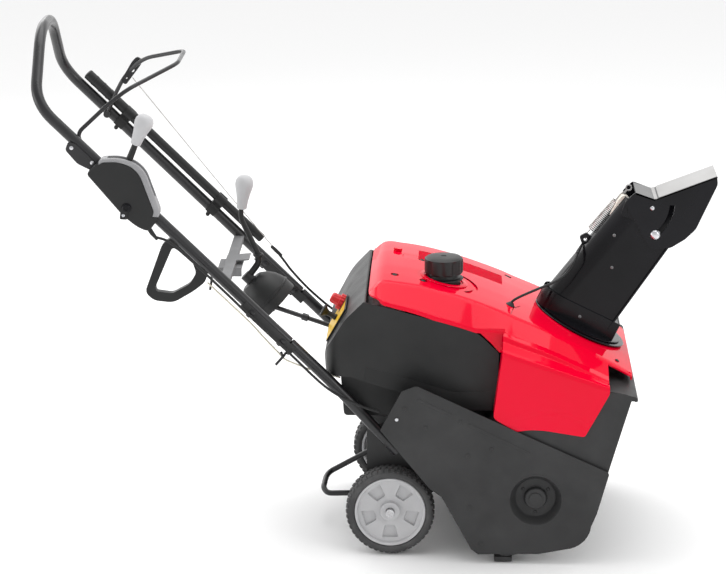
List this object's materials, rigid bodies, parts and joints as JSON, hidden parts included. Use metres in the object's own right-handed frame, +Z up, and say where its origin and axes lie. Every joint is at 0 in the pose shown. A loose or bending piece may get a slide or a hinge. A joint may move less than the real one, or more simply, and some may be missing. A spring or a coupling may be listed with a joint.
{
  "type": "snow blower",
  "caption": "Walk-behind snow blower: wheeled auger housing under a hood, swivelling chute with tilting deflector, tube handle with clutch bail and control levers.",
  "frame": {"origin": "on the ground under the middle of the overall length and width", "axes": "+X the way the machine drives, +Y its left side, +Z up"},
  "size_m": [1.2917, 0.512, 0.9993],
  "materials": {
    "red_shell": "glossy moulded",
    "black_paint": "satin powder coat",
    "black_plastic": "satin moulded",
    "gloss_black": "glossy moulded",
    "grey_plastic": "satin moulded",
    "rubber": "matt",
    "tyre": "matt, moulded tread",
    "steel": "zinc plated",
    "aluminium": "cast",
    "rope": "twisted cord"
  },
  "bodies": {
    "machine": {"side_plate_right": "black_paint", "side_plate_left": "black_paint", "auger_housing": "black_paint", "belt_backplate": "black_paint", "scraper_bar": "rubber", "auger_bearing_right": "black_paint", "auger_bearing_left": "aluminium", "drive_belt": "rubber", "engine_block": "aluminium", "recoil_cover": "black_plastic", "muffler": "steel", "fuel_tank": "black_plastic", "engine_frame": "black_paint", "axle": "steel", "rear_stand_bar": "black_paint", "handle_tube_right": "black_paint", "handle_tube_left": "black_paint", "upper_handle": "black_paint", "handle_joint_right": "black_paint", "handle_joint_left": "black_paint", "control_box": "black_plastic", "control_box_lid": "grey_plastic", "lever_crossbar": "black_paint", "lever_bell": "black_plastic", "rope_hook": "black_paint", "rope_guide": "black_plastic", "starter_rope": "rope", "tool_clip_upper": "black_plastic", "tool_clip_lower": "black_plastic", "rear_cover": "black_plastic", "lower_cover": "black_plastic", "hood": "red_shell", "control_panel": "black_plastic", "chute_ring": "gloss_black", "clutch_cable": "steel", "deflector_cable": "black_plastic", "deflector_cable_front": "black_plastic"},
    "wheel_right": {"tyre_right": "tyre", "rim_right": "grey_plastic"},
    "wheel_left": {"tyre_left": "tyre", "rim_left": "grey_plastic"},
    "auger": {"auger_shaft": "steel", "auger_rotor": "rubber", "auger_pulley": "aluminium"},
    "crank": {"crankshaft": "steel"},
    "idler": {"idler_arm": "steel"},
    "bail": {"clutch_bail": "black_paint"},
    "chute": {"chute": "gloss_black", "deflector_spring": "steel"},
    "deflector": {"deflector": "gloss_black"},
    "chute_control": {"chute_lever": "black_paint", "chute_lever_knob": "grey_plastic"},
    "chute_link": {"chute_rod": "black_paint"},
    "deflector_control": {"deflector_lever": "black_paint", "deflector_lever_knob": "grey_plastic"},
    "starter": {"starter_grip": "black_plastic"},
    "cap": {"fuel_cap": "black_plastic"},
    "key": {"ignition_switch": "red_shell"},
    "choke": {"choke_knob": "black_plastic"},
    "tool": {"clean_out_tool": "black_plastic"}
  },
  "joints": [
    {"name": "wheel_right_spin", "type": "hinge", "parent": "machine", "child": "wheel_right", "pos_m": [0.0285, -0.192, 0.085], "axis": [0, 1, 0], "continuous": true},
    {"name": "wheel_left_spin", "type": "hinge", "parent": "machine", "child": "wheel_left", "pos_m": [0.0285, 0.192, 0.085], "axis": [0, 1, 0], "continuous": true},
    {"name": "auger_spin", "type": "hinge", "parent": "machine", "child": "auger", "pos_m": [0.3045, 0, 0.127], "axis": [0, 1, 0], "continuous": true},
    {"name": "crank_spin", "type": "hinge", "parent": "machine", "child": "crank", "pos_m": [0.1035, 0, 0.275], "axis": [0, 1, 0], "continuous": true},
    {"name": "clutch_bail_turn", "type": "hinge", "parent": "machine", "child": "bail", "pos_m": [-0.5445, 0, 0.779], "axis": [0, -1, 0], "range_deg": [0, 64], "stiffness_Nm_per_rad": 0.5, "springref_deg": -28.65},
    {"name": "idler_swing", "type": "hinge", "parent": "machine", "child": "idler", "pos_m": [0.1245, 0.232, 0.176], "axis": [0, -1, 0], "range_deg": [0, 3.3]},
    {"name": "chute_turn", "type": "hinge", "parent": "machine", "child": "chute", "pos_m": [0.3875, 0, 0.398], "axis": [0.4368, 0, 0.8996], "range_deg": [-95, 95]},
    {"name": "chute_control_turn", "type": "hinge", "parent": "machine", "child": "chute_control", "pos_m": [-0.2495, 0, 0.485], "axis": [0.7157, 0, -0.6984], "range_deg": [-48, 48]},
    {"name": "chute_link_turn", "type": "hinge", "parent": "machine", "child": "chute_link", "pos_m": [-0.1955, 0, 0.428], "axis": [0.9481, 0, -0.318], "range_deg": [-48, 48]},
    {"name": "deflector_tilt", "type": "hinge", "parent": "chute", "child": "deflector", "pos_m": [0.4835, 0, 0.657], "axis": [0, 1, 0], "range_deg": [0, 45]},
    {"name": "deflector_control_tilt", "type": "hinge", "parent": "machine", "child": "deflector_control", "pos_m": [-0.4805, -0.209, 0.711], "axis": [0, 1, 0], "range_deg": [0, 55]},
    {"name": "starter_pull", "type": "slide", "parent": "machine", "child": "starter", "axis": [-0.7254, 0, 0.6884], "range_m": [0, 0.2], "stiffness_N_per_m": 20, "springref_m": -0.1},
    {"name": "fuel_cap_turn", "type": "hinge", "parent": "machine", "child": "cap", "pos_m": [0.1265, -0.075, 0.52], "axis": [0, 0, 1], "range_deg": [0, 120]},
    {"name": "key_turn", "type": "hinge", "parent": "machine", "child": "key", "pos_m": [-0.07303, -0.036, 0.45321], "axis": [-0.8718, 0, 0.4898], "range_deg": [0, 90]},
    {"name": "choke_pull", "type": "slide", "parent": "machine", "child": "choke", "axis": [-0.8718, 0, 0.4898], "range_m": [0, 0.015]},
    {"name": "tool_lift", "type": "slide", "parent": "machine", "child": "tool", "axis": [0.6984, 0, 0.7157], "range_m": [0, 0.06]}
  ],
  "couplings": [
    {"joint": "crank_spin", "follows": "auger_spin", "ratio": 2.5},
    {"joint": "idler_swing", "follows": "clutch_bail_turn", "ratio": 0.05},
    {"joint": "chute_control_turn", "follows": "chute_turn", "ratio": 0.5},
    {"joint": "chute_link_turn", "follows": "chute_turn", "ratio": 0.5},
    {"joint": "deflector_control_tilt", "follows": "deflector_tilt", "ratio": 1.2}
  ]
}
